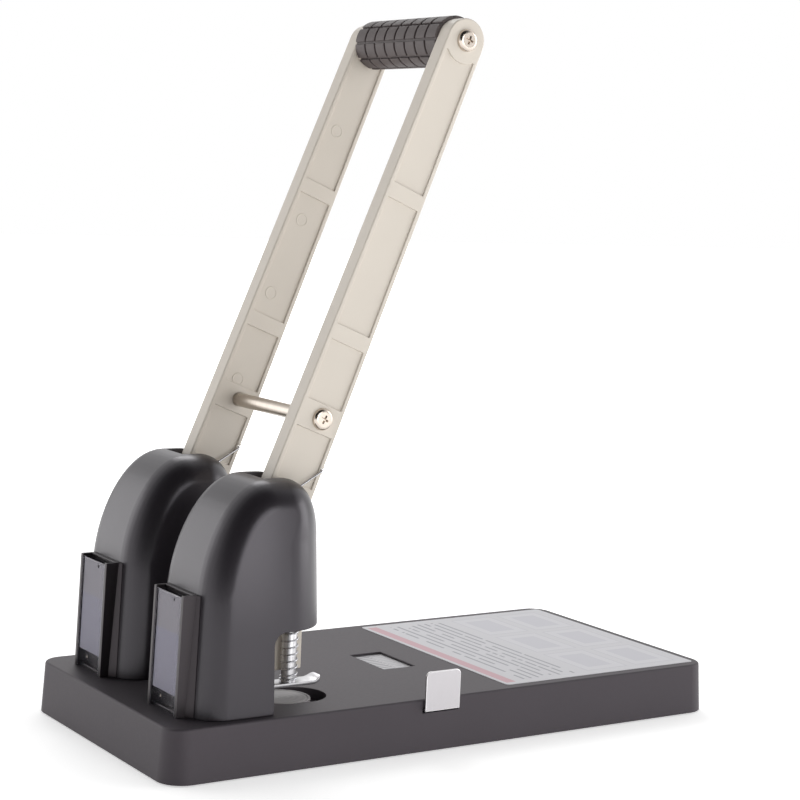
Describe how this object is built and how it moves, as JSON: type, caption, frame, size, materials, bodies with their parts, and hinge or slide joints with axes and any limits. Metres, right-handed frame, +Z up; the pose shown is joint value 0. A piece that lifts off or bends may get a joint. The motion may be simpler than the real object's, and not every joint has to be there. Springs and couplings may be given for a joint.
{
  "type": "two-hole punch",
  "caption": "Heavy-duty two-hole paper punch: long flat base, two domed punch towers and a tall double-armed lever with a rubber grip.",
  "frame": {"origin": "middle of the base on the table it rests on", "axes": "+X from the punch towers to the paper end, +Y from the near tower, which has the guide tab beside it, to the far tower, +Z up"},
  "size_m": [0.31, 0.1486, 0.3445],
  "materials": {
    "charcoal_base": "satin",
    "charcoal_cover": "satin",
    "black_plastic": "satin",
    "clear_plastic": "clear gloss",
    "card": "matt",
    "printed_paper": "matt",
    "scale_plastic": "matt",
    "cream_paint": "satin",
    "zinc_sheet": "zinc plated",
    "mat_rubber": "matt",
    "grip_rubber": "satin",
    "nickel_steel": "satin nickel",
    "bright_screws": "bright",
    "ground_steel": "ground",
    "spring_steel": "bright wire",
    "bronze": "plain",
    "disc_plastic": "matt"
  },
  "bodies": {
    "stand": {"base_shell": "charcoal_base", "bottom_plate": "zinc_sheet", "base_screws": "bright_screws", "rubber_mat": "mat_rubber", "printed_sheet": "printed_paper", "guide_channel": "zinc_sheet", "guide_screws": "bright_screws", "punch_frame_near": "cream_paint", "punch_frame_far": "cream_paint", "frame_bolts": "nickel_steel", "tower_cover_near": "charcoal_cover", "tower_cover_far": "charcoal_cover", "cover_screws": "bright_screws", "spares_holder_near": "black_plastic", "spares_holder_far": "black_plastic", "holder_rivets": "bright_screws", "pivot_axle_near": "ground_steel", "pivot_axle_far": "ground_steel", "axle_clips": "nickel_steel", "guide_bush_near": "bronze", "guide_bush_far": "bronze", "foot_stop_near": "nickel_steel", "foot_stop_far": "nickel_steel", "pin_spring_near": "spring_steel", "pin_spring_far": "spring_steel"},
    "lever": {"lever_arm_near": "cream_paint", "lever_arm_far": "cream_paint", "pivot_bush_near": "bronze", "pivot_bush_far": "bronze", "crank_pin_near": "ground_steel", "crank_pin_far": "ground_steel", "cross_rod": "nickel_steel", "rod_screws": "bright_screws", "grip_core": "nickel_steel", "grip_sleeve": "grip_rubber", "grip_screws": "bright_screws", "return_spring_near": "spring_steel", "return_spring_far": "spring_steel"},
    "guide": {"paper_guide": "zinc_sheet", "guide_scale": "scale_plastic"},
    "punch_near": {"punch_pin_near": "ground_steel", "punch_head_near": "nickel_steel"},
    "foot_near": {"pressure_foot_near": "ground_steel"},
    "disc_near": {"cutting_disc_near": "disc_plastic"},
    "drawer_near": {"spares_drawer_near": "clear_plastic", "drawer_card_near": "card"},
    "punch_far": {"punch_pin_far": "ground_steel", "punch_head_far": "nickel_steel"},
    "foot_far": {"pressure_foot_far": "ground_steel"},
    "disc_far": {"cutting_disc_far": "disc_plastic"},
    "drawer_far": {"spares_drawer_far": "clear_plastic", "drawer_card_far": "card"}
  },
  "joints": [
    {"name": "lever_hinge", "type": "hinge", "parent": "stand", "child": "lever", "pos_m": [-0.095, 0, 0.1073], "axis": [0, 1, 0], "range_deg": [0, 52], "stiffness_Nm_per_rad": 1.2, "springref_deg": -51.57, "deforming": ["return_spring_near", "return_spring_far"]},
    {"name": "punch_near_slide", "type": "slide", "parent": "stand", "child": "punch_near", "axis": [0, 0, -1], "range_m": [0, 0.0158]},
    {"name": "foot_near_lift", "type": "slide", "parent": "stand", "child": "foot_near", "axis": [0, 0, 1], "range_m": [0, 0.009], "stiffness_N_per_m": 1000, "springref_m": -0.005, "deforming": ["pin_spring_near"]},
    {"name": "disc_near_turn", "type": "hinge", "parent": "stand", "child": "disc_near", "pos_m": [-0.08, -0.04, 0.0226], "axis": [0, 0, 1], "continuous": true},
    {"name": "drawer_near_slide", "type": "slide", "parent": "stand", "child": "drawer_near", "axis": [0.0384, 0, 0.9993], "range_m": [0, 0.05]},
    {"name": "punch_far_slide", "type": "slide", "parent": "stand", "child": "punch_far", "axis": [0, 0, -1], "range_m": [0, 0.0158]},
    {"name": "foot_far_lift", "type": "slide", "parent": "stand", "child": "foot_far", "axis": [0, 0, 1], "range_m": [0, 0.009], "stiffness_N_per_m": 1000, "springref_m": -0.005, "deforming": ["pin_spring_far"]},
    {"name": "disc_far_turn", "type": "hinge", "parent": "stand", "child": "disc_far", "pos_m": [-0.08, 0.04, 0.0226], "axis": [0, 0, 1], "continuous": true},
    {"name": "drawer_far_slide", "type": "slide", "parent": "stand", "child": "drawer_far", "axis": [0.0384, 0, 0.9993], "range_m": [0, 0.05]},
    {"name": "guide_slide", "type": "slide", "parent": "stand", "child": "guide", "axis": [0, -1, 0], "range_m": [0, 0.053]}
  ],
  "couplings": [
    {"joint": "punch_near_slide", "follows": "lever_hinge", "m_per_rad": 0.017293},
    {"joint": "punch_far_slide", "follows": "lever_hinge", "m_per_rad": 0.017293}
  ]
}
